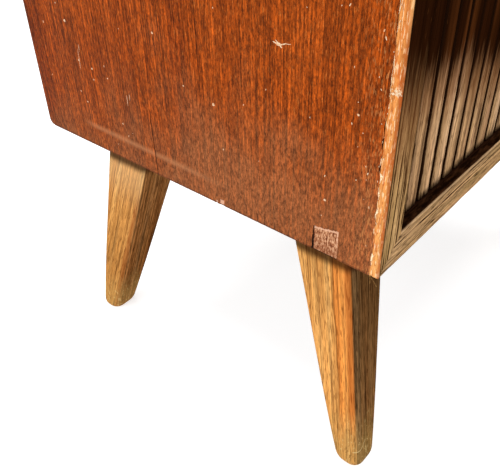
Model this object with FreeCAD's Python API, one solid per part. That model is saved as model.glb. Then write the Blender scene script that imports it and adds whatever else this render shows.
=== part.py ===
"""Sewing table: a cabinet of mitred boards on four splayed, tapered legs.

The lid folds over to the left on a long hinge and rests on two pull-out bearers.
Under it is a fixed worktop with the machine's opening and its two tilting head hinges.
The slatted front is one door, hung on pivot pins at its right end.

Millimetres, +Z up, +X to the right of someone facing the front, and the front faces -Y.
The origin is on the floor, in the middle of the table.
"""
import FreeCAD, Part
import math
import os

from FreeCAD import Vector

# ---- driving dimensions ----

depth = 420.0                 # front to back of the cabinet
underside_height = 278.0      # floor to the underside, and so the height of the legs
worktop_height = 735.0        # floor to the top face of the fixed worktop
board = 29.0                  # thickness of the side and bottom boards
worktop_thickness = 22.0
lid_thickness = 22.0
lid_gap = 3.0                 # between the worktop and the closed lid
lid_overhang = 8.0
hinge_offset = 4.5            # from the cabinet's left side out to the lid hinge's axis
lid_lipping = 10.0            # width of the solid edging round the lid
front_lipping = 9.0           # depth of the solid edging on the cabinet's front edges
soft_arris = 1.2
rear_bottom_radius = 7.0
back_thickness = 6.0
back_rebate = 8.0

slat_count = 23
slat_pitch = 21.4
slat_gap = 4.4
slat_thickness = 8.0
slat_arris = 1.6
door_recess = 10.0            # from the cabinet's front plane to the face of the slats
door_board = 12.0
door_gap = 1.0
door_foot_gap = 1.5
pivot_radius = 3.0
pivot_length = 20.0
pivot_depth = 12.0            # how far a pivot pin goes into the door
running_gap = 0.05            # radial clearance of the metal running fits

leg_top = (60.0, 70.0)        # section of a leg at the underside, along X and Y
leg_foot = (37.0, 31.5)       # section at the floor
leg_inset = (68.0, 86.0)      # from the cabinet's side and front to the middle of a leg's top
leg_splay = (36.5, 68.5)      # how far the foot stands outwards of the top
leg_corner = 6.0
foot_round = 2.5

opening_size = (372.0, 182.0)
opening_centre = (20.0, 31.0)
opening_corner = 12.0
head_hinge_spacing = 210.0
head_pin_radius = 4.76
head_pin_length = 22.0

bearer_section = 20.0
bearer_length = 300.0
bearer_rows = {"front": -140.0, "rear": 160.0}
bearer_gap = 0.3
guide_wall = 6.0

barrel_radius = 3.5
hinge_pin_radius = 1.5
leaf_thickness = 1.2
leaf_width = 22.0
hinge_length = 380.0
knuckle_count = 10

# ---- worked out from them ----

slat_width = slat_pitch - slat_gap
door_width = slat_count * slat_pitch - slat_gap
inner_width = door_width + 2 * door_gap
width = inner_width + 2 * board
half_width = width / 2
half_depth = depth / 2
inner_half = inner_width / 2
floor_top = underside_height + board
ceiling = worktop_height - worktop_thickness
lid_bottom = worktop_height + lid_gap
lid_top = lid_bottom + lid_thickness
slat_face = -half_depth + door_recess
door_front = slat_face + slat_thickness
door_back = door_front + door_board
door_left = -inner_half + door_gap
door_right = inner_half - door_gap
door_bottom = floor_top + door_foot_gap
door_top = ceiling - door_foot_gap
pivot_y = door_front + door_board / 2
pivot_x = door_right - (pivot_y - slat_face)
hinge_x = -half_width - hinge_offset
hinge_z = worktop_height + lid_gap / 2

X = Vector(1, 0, 0)
Y = Vector(0, 1, 0)
Z = Vector(0, 0, 1)

nodes = {}


# ---- helpers ----

def box(x0, x1, y0, y1, z0, z1):
    """A block between two opposite corners."""
    return Part.makeBox(x1 - x0, y1 - y0, z1 - z0, Vector(x0, y0, z0))


def rod(start, direction, radius, length):
    """A round bar from a start point along a direction."""
    return Part.makeCylinder(radius, length, start, direction)


def extrude_y(points, y0, y1):
    """A polygon drawn in X and Z, carried from y0 to y1."""
    corners = [Vector(x, y0, z) for x, z in points]
    face = Part.Face(Part.makePolygon(corners + corners[:1]))
    return face.extrude(Vector(0, y1 - y0, 0))


def soften(shape, radius, wanted):
    """Round the edges whose middle point and direction satisfy wanted."""
    picked = []
    for edge in shape.Edges:
        middle = edge.valueAt((edge.FirstParameter + edge.LastParameter) / 2)
        direction = edge.tangentAt(edge.FirstParameter)
        if wanted(middle, direction):
            picked.append(edge)
    return shape.makeFillet(radius, picked)


def near(value, target):
    return abs(value - target) < 0.01


def upright(direction):
    return abs(direction.z) > 0.99


def rounded_rectangle(centre, size, z, radius):
    """A level closed wire with round corners."""
    half_x = size[0] / 2 - radius
    half_y = size[1] / 2 - radius
    corners = [(half_x, half_y), (-half_x, half_y), (-half_x, -half_y), (half_x, -half_y)]
    arcs = []
    for index, (dx, dy) in enumerate(corners):
        middle = Vector(centre[0] + dx, centre[1] + dy, z)
        arcs.append(Part.makeCircle(radius, middle, Z, 90 * index, 90 * index + 90))
    edges = []
    for index, arc in enumerate(arcs):
        following = arcs[(index + 1) % 4]
        edges.append(arc)
        edges.append(Part.makeLine(arc.valueAt(arc.LastParameter),
                                   following.valueAt(following.FirstParameter)))
    return Part.Wire(edges)


# ---- cabinet ----

def cabinet_envelope():
    """The cabinet's outer block, with the softened arrises that all its boards share."""
    block = box(-half_width, half_width, -half_depth, half_depth, underside_height, worktop_height)

    def front_arris(middle, direction):
        if not near(middle.y, -half_depth):
            return False
        return upright(direction) or near(middle.z, underside_height)

    def rear_bottom(middle, direction):
        return near(middle.y, half_depth) and near(middle.z, underside_height)

    block = soften(block, soft_arris, front_arris)
    return soften(block, rear_bottom_radius, rear_bottom)


def board_outlines():
    """Each board's section across the front: the four are mitred where they meet."""
    outer = half_width
    low, high = underside_height, worktop_height
    left = [(-outer, low), (-inner_half, floor_top), (-inner_half, ceiling), (-outer, high)]
    bottom = [(-outer, low), (outer, low), (inner_half, floor_top), (-inner_half, floor_top)]
    top = [(-outer, high), (-inner_half, ceiling), (inner_half, ceiling), (outer, high)]
    return {
        "left_side": left,
        "right_side": [(-x, z) for x, z in left],
        "bottom_board": bottom,
        "worktop": top,
    }


def back_recess():
    """The space that the back panel takes out of the rear edges of the boards."""
    reach = inner_half + back_rebate
    return box(-reach, reach, half_depth - back_rebate, half_depth + 1,
               floor_top - back_rebate, ceiling + back_rebate)


def make_cabinet():
    envelope = cabinet_envelope()
    front = -half_depth
    for name, outline in board_outlines().items():
        panel = extrude_y(outline, front + front_lipping, half_depth)
        nodes[name] = panel.common(envelope).cut(back_recess())
        lipping = extrude_y(outline, front, front + front_lipping)
        nodes[name + "_lipping"] = lipping.common(envelope)
    reach = inner_half + back_rebate
    nodes["back_panel"] = box(-reach, reach, half_depth - back_rebate,
                              half_depth - back_rebate + back_thickness,
                              floor_top - back_rebate, ceiling + back_rebate)


def make_leg(side, end):
    """One leg: side is -1 on the left, end is -1 at the front."""
    top = (side * (half_width - leg_inset[0]), end * (half_depth - leg_inset[1]))
    foot = (top[0] + side * leg_splay[0], top[1] + end * leg_splay[1])
    small_foot = (leg_foot[0] - 2 * foot_round, leg_foot[1] - 2 * foot_round)
    sections = [
        rounded_rectangle(foot, small_foot, 0, leg_corner - foot_round),
        rounded_rectangle(foot, leg_foot, foot_round, leg_corner),
        rounded_rectangle(top, leg_top, underside_height, leg_corner),
    ]
    return Part.makeLoft(sections, True, True)


def make_legs():
    for side, side_name in ((-1, "left"), (1, "right")):
        for end, end_name in ((-1, "front"), (1, "rear")):
            nodes[end_name + "_" + side_name + "_leg"] = make_leg(side, end)


# ---- the worktop's opening, and the machine's head hinges ----

def cut_machine_opening():
    depth_cut = worktop_thickness + 2
    outline = rounded_rectangle(opening_centre, opening_size, ceiling - 1, opening_corner)
    hole = Part.Face(outline).extrude(Vector(0, 0, depth_cut))
    nodes["worktop"] = nodes["worktop"].cut(hole)


def make_head_hinge(name, x):
    """A screwed bracket with an axle, and the barrel and head pin that turn on it."""
    rear_edge = opening_centre[1] + opening_size[1] / 2
    plate_half = 16.0
    plate_thickness = 3.0
    plate_depth = 24.0
    axle_y = rear_edge - 8.5
    axle_z = worktop_height - 9.0
    axle_radius = 3.0
    barrel = 7.0
    barrel_half = 9.0
    collar_radius = 6.2
    collar_end = 8.0
    lug = 4.0
    plate = box(x - plate_half, x + plate_half, axle_y - barrel, rear_edge + plate_depth,
                worktop_height - plate_thickness, worktop_height)
    swing_space = box(x - barrel_half - 1, x + barrel_half + 1, axle_y - barrel - 1, rear_edge - 0.5,
                      worktop_height - plate_thickness - 1, worktop_height + 1)
    plate = plate.cut(swing_space)
    bed = box(x - plate_half, x + plate_half, rear_edge - 1, rear_edge + plate_depth,
              worktop_height - plate_thickness, worktop_height + 1)
    nodes["worktop"] = nodes["worktop"].cut(bed)
    screw_rows = [(x + dx, rear_edge + plate_depth / 2) for dx in (-9, 9)]
    for screw_x, screw_y in screw_rows:
        plate = plate.cut(rod(Vector(screw_x, screw_y, ceiling), Z, 2.2, 40))
    bracket = plate
    for side in (-1, 1):
        inner = x + side * (barrel_half + 0.5)
        outer = inner + side * lug
        bracket = bracket.fuse(box(min(inner, outer), max(inner, outer), axle_y - barrel, rear_edge,
                                   axle_z - barrel, worktop_height - plate_thickness / 2))
    axle_length = 2 * (barrel_half + 0.5 + lug)
    axle = rod(Vector(x - axle_length / 2, axle_y, axle_z), X, axle_radius, axle_length)
    nodes[name + "_head_bracket"] = bracket.fuse(axle).removeSplitter()
    turning = rod(Vector(x - barrel_half, axle_y, axle_z), X, barrel, 2 * barrel_half)
    collar = rod(Vector(x, axle_y, axle_z), -Y, collar_radius, collar_end)
    pin = rod(Vector(x, axle_y, axle_z), -Y, head_pin_radius, collar_end + head_pin_length)
    bore = rod(Vector(x - barrel_half - 1, axle_y, axle_z), X, axle_radius + running_gap,
               2 * barrel_half + 2)
    nodes[name + "_head_pin"] = turning.fuse([collar, pin]).cut(bore)


# ---- bearers that carry the open lid ----

def make_bearer(name, y):
    """A square bar that slides out through the left side under the worktop."""
    half = bearer_section / 2
    top = ceiling - bearer_gap
    notch_start = -half_width + 5
    bar = box(-half_width, -half_width + bearer_length, y - half, y + half,
              top - bearer_section, top)
    finger_notch = rod(Vector(notch_start + 8, y - half - 1, top - bearer_section), Y, 8,
                       bearer_section + 2)
    nodes[name + "_bearer"] = bar.cut(finger_notch)
    reach = half + bearer_gap
    slot = box(-half_width - 1, -inner_half + 1, y - reach, y + reach,
               top - bearer_section - bearer_gap, ceiling)
    panel = nodes["left_side"].cut(slot)
    scoop = Part.makeSphere(15, Vector(-half_width, y, top - bearer_section))
    nodes["left_side"] = panel.cut(scoop)
    guide = box(-inner_half, -half_width + bearer_length, y - reach - guide_wall, y + reach + guide_wall,
                top - bearer_section - bearer_gap - guide_wall, ceiling)
    channel = box(-inner_half - 1, -half_width + bearer_length + 1, y - reach, y + reach,
                  top - bearer_section - bearer_gap, ceiling + 1)
    nodes[name + "_bearer_guide"] = guide.cut(channel)


def make_bearers():
    for name, y in bearer_rows.items():
        make_bearer(name, y)


# ---- lid and its long hinge ----

def lid_limits():
    """Half width and half depth of the closed lid."""
    return half_width + lid_overhang, half_depth + lid_overhang


def make_lid():
    """A board with solid edging, mitred at the corners and softened all round."""
    reach_x, reach_y = lid_limits()
    block = box(-reach_x, reach_x, -reach_y, reach_y, lid_bottom, lid_top)
    block = soften(block, 3.0, lambda middle, direction: upright(direction))
    block = soften(block, 1.5, lambda middle, direction: near(middle.z, lid_top))
    inner_x = reach_x - lid_lipping
    inner_y = reach_y - lid_lipping
    core = box(-inner_x, inner_x, -inner_y, inner_y, lid_bottom, lid_top)
    edges = {
        "front": [(-1, -1), (1, -1)],
        "rear": [(1, 1), (-1, 1)],
        "left": [(-1, 1), (-1, -1)],
        "right": [(1, -1), (1, 1)],
    }
    nodes["lid_board"] = cut_for_hinge(core)
    for name, ends in edges.items():
        outline = [(sx * (reach_x + 1), sy * (reach_y + 1)) for sx, sy in ends]
        outline += [(sx * inner_x, sy * inner_y) for sx, sy in reversed(ends)]
        corners = [Vector(x, y, lid_bottom) for x, y in outline]
        face = Part.Face(Part.makePolygon(corners + corners[:1]))
        prism = face.extrude(Vector(0, 0, lid_thickness))
        nodes["lid_" + name + "_lipping"] = cut_for_hinge(prism.common(block))


def hinge_axis_point(y):
    return Vector(hinge_x, y, hinge_z)


def cut_for_hinge(piece):
    """The cove round the hinge barrel, and the bed for the lid's leaf."""
    half = hinge_length / 2 + 1
    cove = rod(hinge_axis_point(-half), Y, 5.0, 2 * half)
    bed = box(hinge_x, hinge_x + leaf_width + 0.5, -half, half, lid_bottom - 1,
              lid_bottom + leaf_thickness)
    return piece.cut(cove).cut(bed)


def make_leaf(first_knuckle, z0, fixed):
    """A leaf with every other knuckle of the barrel."""
    half = hinge_length / 2
    pitch = hinge_length / knuckle_count
    end_gap = 0.2
    leaf = box(hinge_x, hinge_x + leaf_width, -half, half, z0, z0 + leaf_thickness)
    for index in range(knuckle_count):
        start = -half + index * pitch
        if index % 2 == first_knuckle:
            knuckle = rod(hinge_axis_point(start + end_gap), Y, barrel_radius, pitch - 2 * end_gap)
            leaf = leaf.fuse(knuckle)
    for index in range(knuckle_count):
        start = -half + index * pitch
        if index % 2 != first_knuckle:
            clearance = rod(hinge_axis_point(start - end_gap), Y, barrel_radius + 0.4,
                            pitch + 2 * end_gap)
            leaf = leaf.cut(clearance)
    bore_radius = hinge_pin_radius if fixed else hinge_pin_radius + running_gap
    bore = rod(hinge_axis_point(-half - 1), Y, bore_radius, hinge_length + 2)
    return leaf.cut(bore).removeSplitter()


def make_lid_hinge():
    half = hinge_length / 2
    nodes["hinge_fixed_leaf"] = make_leaf(0, worktop_height - leaf_thickness, True)
    nodes["hinge_lid_leaf"] = make_leaf(1, lid_bottom, False)
    nodes["hinge_rod"] = rod(hinge_axis_point(-half), Y, hinge_pin_radius, hinge_length)
    bed = box(-half_width - 1, hinge_x + leaf_width + 0.5, -half - 1, half + 1,
              worktop_height - leaf_thickness, worktop_height + 1)
    for name in ("left_side", "worktop"):
        nodes[name] = nodes[name].cut(bed)


def make_lid_pads():
    """Four felt pads that the closed lid lies on."""
    pad_radius = 6.0
    pad_height = lid_gap - 0.1
    inset = 20.0
    pads = []
    for x in (-half_width + 2 * inset, half_width - inset):
        for y in (-half_depth + inset, half_depth - inset):
            pads.append(rod(Vector(x, y, worktop_height), Z, pad_radius, pad_height))
    nodes["lid_pads"] = Part.makeCompound(pads)


# ---- door ----

def door_sweep():
    """The block that the door stays in, rounded about the pivot at its hanging end."""
    radius = door_right - pivot_x
    block = box(door_left, pivot_x, slat_face, door_back, door_bottom, door_top)
    end = rod(Vector(pivot_x, pivot_y, door_bottom), Z, radius, door_top - door_bottom)
    keep = box(pivot_x, door_right, slat_face, door_back, door_bottom, door_top)
    return block.fuse(end.common(keep))


def make_slats(sweep):
    for index in range(slat_count):
        x = door_left + index * slat_pitch
        slat = box(x, x + slat_width, slat_face, door_front, door_bottom, door_top)

        def front_arris(middle, direction):
            return upright(direction) and near(middle.y, slat_face)

        slat = soften(slat, slat_arris, front_arris)
        if index == slat_count - 1:
            slat = slat.common(sweep)
        nodes["door_slat_%02d" % (index + 1)] = slat


def pivot_pins():
    low = rod(Vector(pivot_x, pivot_y, door_bottom + pivot_depth - pivot_length), Z, pivot_radius,
              pivot_length)
    high = rod(Vector(pivot_x, pivot_y, door_top - pivot_depth), Z, pivot_radius, pivot_length)
    return [low, high]


def make_door_pivots():
    nodes["door_pivots"] = Part.makeCompound(pivot_pins())
    seat_radius = pivot_radius + running_gap
    reach = pivot_length + 1
    low = rod(Vector(pivot_x, pivot_y, floor_top - reach + pivot_depth), Z, seat_radius, reach)
    high = rod(Vector(pivot_x, pivot_y, ceiling - pivot_depth), Z, seat_radius, reach)
    nodes["bottom_board"] = nodes["bottom_board"].cut(low)
    nodes["worktop"] = nodes["worktop"].cut(high)
    for pin in pivot_pins():
        nodes["door_board"] = nodes["door_board"].cut(pin)


def make_knob():
    """A turned knob: a narrow neck and a domed head."""
    x = door_left + 2 * slat_pitch + slat_width / 2
    z = door_bottom + 0.7 * (door_top - door_bottom)
    profile = [(0, 0), (4.5, 0), (3.6, 4), (3.6, 8), (7.5, 10.5), (7.5, 13), (0, 15.5)]
    corners = [Vector(x + radius, slat_face - out, z) for radius, out in profile]
    face = Part.Face(Part.makePolygon(corners + corners[:1]))
    nodes["door_knob"] = face.revolve(Vector(x, slat_face, z), Y, 360)


def make_catch():
    """A magnetic catch on the left side, and its steel plate on the door."""
    z = (door_bottom + door_top) / 2
    plate_thickness = 1.5
    nodes["door_strike"] = box(door_left + 2, door_left + 18, door_back, door_back + plate_thickness,
                               z - 20, z + 20)
    face = door_back + plate_thickness + 0.2
    nodes["door_catch"] = box(-inner_half, -inner_half + 15, face, face + 18, z - 24, z + 24)


def make_spool_tray():
    """A tray on the back of the door: an open end for small things, and pegs for thread."""
    left, right = -170.0, 150.0
    divider = -40.0
    wall = 5.0
    tray_depth = 44.0
    low = door_bottom + 130
    height = 26.0
    tray = box(left, right, door_back, door_back + tray_depth, low, low + height)
    for x0, x1 in ((left + wall, divider), (divider + wall, right - wall)):
        tray = tray.cut(box(x0, x1, door_back + wall, door_back + tray_depth - wall,
                            low + wall, low + height + 1))
    peg_count = 6
    peg_radius = 2.5
    peg_height = 46.0
    room = right - wall - divider - wall
    pegs = []
    for index in range(peg_count):
        x = divider + wall + room * (index + 0.5) / peg_count
        pegs.append(rod(Vector(x, door_back + tray_depth / 2, low + wall), Z, peg_radius, peg_height))
    nodes["spool_tray"] = tray
    nodes["spool_pegs"] = Part.makeCompound(pegs)


def make_door():
    sweep = door_sweep()
    backing = box(door_left, door_right, door_front, door_back, door_bottom, door_top)
    nodes["door_board"] = backing.common(sweep)
    make_slats(sweep)
    make_door_pivots()
    make_knob()
    make_catch()
    make_spool_tray()


# ---- the whole table ----

def main():
    make_cabinet()
    make_legs()
    cut_machine_opening()
    for side, name in ((-1, "left"), (1, "right")):
        make_head_hinge(name, opening_centre[0] + side * head_hinge_spacing / 2)
    make_bearers()
    make_lid()
    make_lid_hinge()
    make_lid_pads()
    make_door()
    os.makedirs("parts", exist_ok=True)
    for name, shape in nodes.items():
        if not shape.isValid():
            print("invalid:", name)
        shape.exportStep("parts/" + name + ".step")
    print(len(nodes), "nodes, cabinet", round(width, 1), "x", depth, "x", lid_top)


main()
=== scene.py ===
import math
import random

import bmesh
import bpy
from mathutils import Matrix, Vector, noise


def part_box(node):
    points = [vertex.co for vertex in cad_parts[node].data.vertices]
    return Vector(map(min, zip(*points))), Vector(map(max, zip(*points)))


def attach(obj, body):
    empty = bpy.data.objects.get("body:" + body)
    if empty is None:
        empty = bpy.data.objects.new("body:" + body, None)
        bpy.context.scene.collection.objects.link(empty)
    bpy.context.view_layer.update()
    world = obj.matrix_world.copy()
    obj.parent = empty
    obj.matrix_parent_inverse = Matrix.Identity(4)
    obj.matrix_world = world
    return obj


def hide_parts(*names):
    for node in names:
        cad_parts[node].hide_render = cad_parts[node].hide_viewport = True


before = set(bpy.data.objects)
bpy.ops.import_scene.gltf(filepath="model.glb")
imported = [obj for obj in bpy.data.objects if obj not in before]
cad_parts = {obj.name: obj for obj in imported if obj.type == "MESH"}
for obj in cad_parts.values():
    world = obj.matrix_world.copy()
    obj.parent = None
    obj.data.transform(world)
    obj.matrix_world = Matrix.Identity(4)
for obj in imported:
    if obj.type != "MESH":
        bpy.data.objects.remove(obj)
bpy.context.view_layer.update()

MM = 0.001

# ---- sizes, read from the frame ----

side_low, side_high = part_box("left_side")
top_low, top_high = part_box("worktop")
lipping_low, lipping_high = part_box("left_side_lipping")

HALF_WIDTH = -side_low.x
UNDERSIDE = side_low.z
WORKTOP = side_high.z
FRONT = lipping_low.y
REAR = side_high.y
BOARD = side_high.x - side_low.x
WORKTOP_BOARD = top_high.z - top_low.z
LIPPING = lipping_high.y - lipping_low.y
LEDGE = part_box("bottom_board")[1].z

VENEER = 0.45 * MM  # how far the side veneers stand out
VENEER_EDGE = 7.4 * MM  # from the front back to the veneer's worn edge, at the bottom
EDGE_SLANT = 0.011  # the edge is worn further back higher up
SIDE_GROOVES = (5.5 * MM, 12.5 * MM, 21.5 * MM)  # open cracks along the front of a side edging
RAIL_GROOVES = (19 * MM,)
SLAT_WEAR = 0.7 * MM  # worn off each side of a slat
PULL_REACH = 14 * MM  # how far back the veneer's points are pulled towards its worn edge
SCOOP = 15 * MM  # radius of the finger room under a bearer
CEILING = WORKTOP - WORKTOP_BOARD  # top of the bearers' holes

# marks on the left side's veneer

PATCH_FRONT = -171.5 * MM  # a missing square of veneer at the bottom edge
PATCH_REAR = -148.5 * MM
PATCH_TOP = 306 * MM  # at its front edge
PATCH_SLANT = 0.2  # it drops towards the rear
SPLIT_WIDTH = 2.2 * MM  # the black split beside it
SPLIT_TOP = 302 * MM
CRACK = ((36.9, 277), (37.0, 300), (37.8, 321), (37.5, 346))  # y and z, mm
CRACK_HALF = 0.6 * MM
FADE_START = 412 * MM  # the veneer is dull below this height
FADE_END = 300 * MM  # and as dull as it gets here
JOINT_HEIGHT = 300.5 * MM  # a faint raised line over a joint in the core
JOINT_REAR = 145 * MM
JOINT_FRONT = -62 * MM
CHIPS = ((-50, -45, 6.5), (-42, -40, 3.5))  # broken at the bottom edge: from y, to y, height, mm
EDGE_CRACKS = ((-62, 9), (-76, 13), (-89, 9), (-97, 12), (-108, 8), (10, 10), (-18, 8))  # y, height, mm

# how bright the light makes a white surface facing left, and facing front

SIDE_LIGHT = 1.50
FRONT_LIGHT = 0.93


# ---- meshes ----

def new_piece(name, verts, faces, body, material):
    """A closed mesh piece that rides on a body."""
    mesh = bpy.data.meshes.new(name)
    mesh.from_pydata([tuple(v) for v in verts], [], faces)
    mesh.validate()
    piece = bpy.data.objects.new(name, mesh)
    bpy.context.scene.collection.objects.link(piece)
    tidy_normals(mesh)
    mesh.materials.append(material)
    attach(piece, body)
    return piece


def tidy_normals(mesh):
    """Outward normals, and smooth shading but for the hard edges."""
    form = bmesh.new()
    form.from_mesh(mesh)
    bmesh.ops.recalc_face_normals(form, faces=form.faces)
    for face in form.faces:
        face.smooth = True
    for edge in form.edges:
        if len(edge.link_faces) == 2 and edge.calc_face_angle() > math.radians(50):
            edge.smooth = False
    form.to_mesh(mesh)
    form.free()


def store_vector(piece, name, values):
    layer = piece.data.attributes.new(name, "FLOAT_VECTOR", "POINT")
    layer.data.foreach_set("vector", [c for v in values for c in v])


def store_number(piece, name, values):
    layer = piece.data.attributes.new(name, "FLOAT", "POINT")
    layer.data.foreach_set("value", values)


def tube_faces(rings, around):
    """Quads between rings of points, and a flat face over each end."""
    faces = []
    for i in range(rings - 1):
        for j in range(around):
            k = (j + 1) % around
            faces.append((i * around + j, i * around + k, (i + 1) * around + k, (i + 1) * around + j))
    faces.append(tuple(range(around)))
    faces.append(tuple((rings - 1) * around + j for j in range(around)))
    return faces


def straight(points, start, end, out, steps, first=0):
    """Add points along a line, up to but not with its end, with their outward normal."""
    for i in range(first, steps):
        points.append((Vector(start).lerp(Vector(end), i / steps), Vector(out)))


def quarter_turn(points, centre, radius, first_angle, steps, last=0):
    """Add points round a corner, with their outward normals, and the last one if asked."""
    for i in range(steps + last):
        angle = math.radians(first_angle + 90 * i / steps)
        out = Vector((math.cos(angle), math.sin(angle)))
        points.append((Vector(centre) + radius * out, out))


def add_tube(verts, faces, points, around):
    """Add a closed tube whose points come ring by ring."""
    base = len(verts)
    verts.extend(points)
    faces.extend(tuple(base + i for i in face) for face in tube_faces(len(points) // around, around))


def section(width, depth, radius, step):
    """Points and outward normals round a rectangle with rounded front corners.

    The first coordinate runs over the width from 0, the second goes back from the front face at 0.
    """
    points = []

    def run(start, end, out, spacing):
        steps = max(1, round((Vector(end) - Vector(start)).length / spacing))
        straight(points, start, end, out, steps)

    run((radius, 0), (width - radius, 0), (0, -1), step)
    quarter_turn(points, (width - radius, radius), radius, -90, 4)
    run((width, radius), (width, depth), (1, 0), 2 * step)
    run((width, depth), (0, depth), (0, 1), 8 * step)
    run((0, depth), (0, radius), (-1, 0), 2 * step)
    quarter_turn(points, (radius, radius), radius, 180, 4)
    return points


def ripple(across, back, along, cell, run, seed):
    """Perlin noise drawn out along the grain, from -1 to 1. Lengths are in metres."""
    return noise.noise(Vector((across / cell + seed, back / cell, along / run + seed)))


def weathering(across, back, along, seed, grooves):
    """How far bare old wood has sunk, from 0 to 1: open grooves and soft hollows."""
    line = ripple(across, back, along, 3.2 * MM, 80 * MM, seed)
    fine = ripple(across, back, along, 1.5 * MM, 30 * MM, seed + 7)
    hollow = ripple(across, back, along, 9 * MM, 90 * MM, seed + 19)
    groove = max(0.0, 1 - abs(line) * 5.0)
    scratch = max(0.0, 1 - abs(fine) * 4.0)
    sunk = 0.5 * groove * groove + 0.25 * scratch + 0.2 * max(0.0, hollow)
    if back < 1 * MM:
        for middle in grooves:
            wander = 1.6 * MM * noise.noise(Vector((along / (60 * MM), seed, middle / MM)))
            away = (across - middle - wander) / (1.2 * MM)
            opened = min(1.0, 0.75 + 1.4 * noise.noise(Vector((along / (45 * MM), seed + 5, middle / MM))))
            sunk = max(sunk, opened * (1 - away * away))
    return min(1.0, sunk)


def sweep_board(name, outline, place, length, step, depth, seed, body, material, grooves=()):
    """A long board with worn grain: outline swept by place(across, back, t), t from 0 to 1."""
    rings = max(2, round(length / step))
    verts, grain, wear = [], [], []
    for i in range(rings + 1):
        t = i / rings
        along = t * length
        for point, normal in outline:
            sunk = weathering(point.x, point.y, along, seed, grooves)
            exposed = 0.0 if normal.y > 0.5 else 1.0
            moved = point - normal * (sunk * depth * exposed)
            verts.append(place(moved.x, moved.y, t))
            grain.append((point.x + seed, point.y, along))
            wear.append(sunk * exposed)
    piece = new_piece(name, verts, tube_faces(rings + 1, len(outline)), body, material)
    store_vector(piece, "grain", grain)
    store_number(piece, "wear", wear)
    return piece


# ---- colours and material nodes ----

def tone(red, green, blue):
    """A colour as the eye reads it, 0 to 255, turned into the linear values that shaders use."""
    out = []
    for channel in (red, green, blue):
        c = channel / 255
        out.append(c / 12.92 if c <= 0.04045 else ((c + 0.055) / 1.055) ** 2.4)
    return tuple(out)


def seen(red, green, blue, light):
    """The paint that shows as this colour under a given strength of light."""
    return tuple(min(0.95, c / light) for c in tone(red, green, blue))


def on_side(red, green, blue):
    return seen(red, green, blue, SIDE_LIGHT)


def on_front(red, green, blue):
    return seen(red, green, blue, FRONT_LIGHT)


class Look:
    """A material's node tree, written one step at a time."""

    def __init__(self, name, roughness=0.5, gloss=0.03):
        self.material = bpy.data.materials.new(name)
        self.material.use_nodes = True
        self.tree = self.material.node_tree
        self.shader = self.tree.nodes["Principled BSDF"]
        self.feed(self.shader, {"Roughness": roughness, "Specular IOR Level": gloss})

    def feed(self, node, values):
        """Link or set a node's inputs, each given by its name or number."""
        for key, value in values.items():
            socket = node.inputs[key]
            if isinstance(value, bpy.types.NodeSocket):
                self.tree.links.new(value, socket)
            elif isinstance(value, tuple) and socket.type == "RGBA":
                socket.default_value = (*value[:3], 1)
            else:
                socket.default_value = value

    def node(self, kind, values, output=0, **settings):
        """Add a node and return one of its outputs."""
        made = self.tree.nodes.new("ShaderNode" + kind)
        for key, value in settings.items():
            setattr(made, key, value)
        self.feed(made, values)
        return made.outputs[output]

    def place(self):
        """Position in the table's own frame, in metres."""
        return self.node("TexCoord", {}, "Object")

    def facing(self):
        return self.node("TexCoord", {}, "Normal")

    def stored(self, name, output="Vector"):
        return self.node("Attribute", {}, output, attribute_name=name)

    def parts(self, vector):
        made = self.tree.nodes.new("ShaderNodeSeparateXYZ")
        self.feed(made, {0: vector})
        return tuple(made.outputs)

    def where(self):
        """x, y and z in the table's own frame."""
        return self.parts(self.place())

    def join(self, x, y, z):
        return self.node("CombineXYZ", {0: x, 1: y, 2: z})

    def math(self, operation, a, b=0.0):
        return self.node("Math", {0: a, 1: b}, operation=operation)

    def times(self, a, b):
        return self.math("MULTIPLY", a, b)

    def plus(self, a, b):
        return self.math("ADD", a, b)

    def minus(self, a, b):
        return self.math("SUBTRACT", a, b)

    def noise(self, vector, by, detail=2.0, roughness=0.5):
        """Noise with this many cells to the metre along each of the vector's axes."""
        scaled = self.node("VectorMath", {0: vector, 1: by}, operation="MULTIPLY")
        return self.node("TexNoise", {"Vector": scaled, "Scale": 1.0, "Detail": detail,
                                      "Roughness": roughness})

    def mottle(self, by, detail=2.0, roughness=0.5):
        """The same, over the table's own frame."""
        return self.noise(self.place(), by, detail, roughness)

    def rise(self, value, low, high, share=1.0):
        """0 below low, the share above high, smooth between. With high under low it falls instead."""
        ends = (share, 0.0) if high < low else (0.0, share)
        limits = {"Value": value, "From Min": min(low, high), "From Max": max(low, high),
                  "To Min": ends[0], "To Max": ends[1]}
        return self.node("MapRange", limits, "Result", interpolation_type="SMOOTHSTEP")

    def window(self, value, low, high, soft, share=1.0):
        """The share between low and high, falling off over soft outside them."""
        up = self.rise(value, low - soft, low)
        return self.times(up, self.rise(value, high + soft, high, share))

    def mix(self, factor, a, b, mode="MIX"):
        return self.node("Mix", {0: factor, 6: a, 7: b}, 2, data_type="RGBA", blend_type=mode)

    def tint(self, colour, by):
        return self.mix(1.0, colour, by, "MULTIPLY")

    def ramp(self, factor, *stops):
        made = self.tree.nodes.new("ShaderNodeValToRGB")
        band = made.color_ramp
        while len(band.elements) < len(stops):
            band.elements.new(0.5)
        for element, (position, colour) in zip(band.elements, stops):
            element.position = position
            element.color = (*colour, 1)
        self.feed(made, {0: factor})
        return made.outputs[0]

    def contrast(self, colour, layer, low, dim, high, bright):
        """The colour times dim where the layer is low, and times bright where it is high."""
        return self.tint(colour, self.ramp(layer, (low, grey(dim)), (high, grey(bright))))

    def finish(self, colour, height=None, bump=0.4, reach=0.3 * MM, roughness=None):
        self.feed(self.shader, {"Base Color": colour})
        if roughness is not None:
            self.feed(self.shader, {"Roughness": roughness})
        if height is not None:
            raised = self.node("Bump", {"Strength": bump, "Distance": reach, "Height": height})
            self.feed(self.shader, {"Normal": raised})
        return self.material


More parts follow.
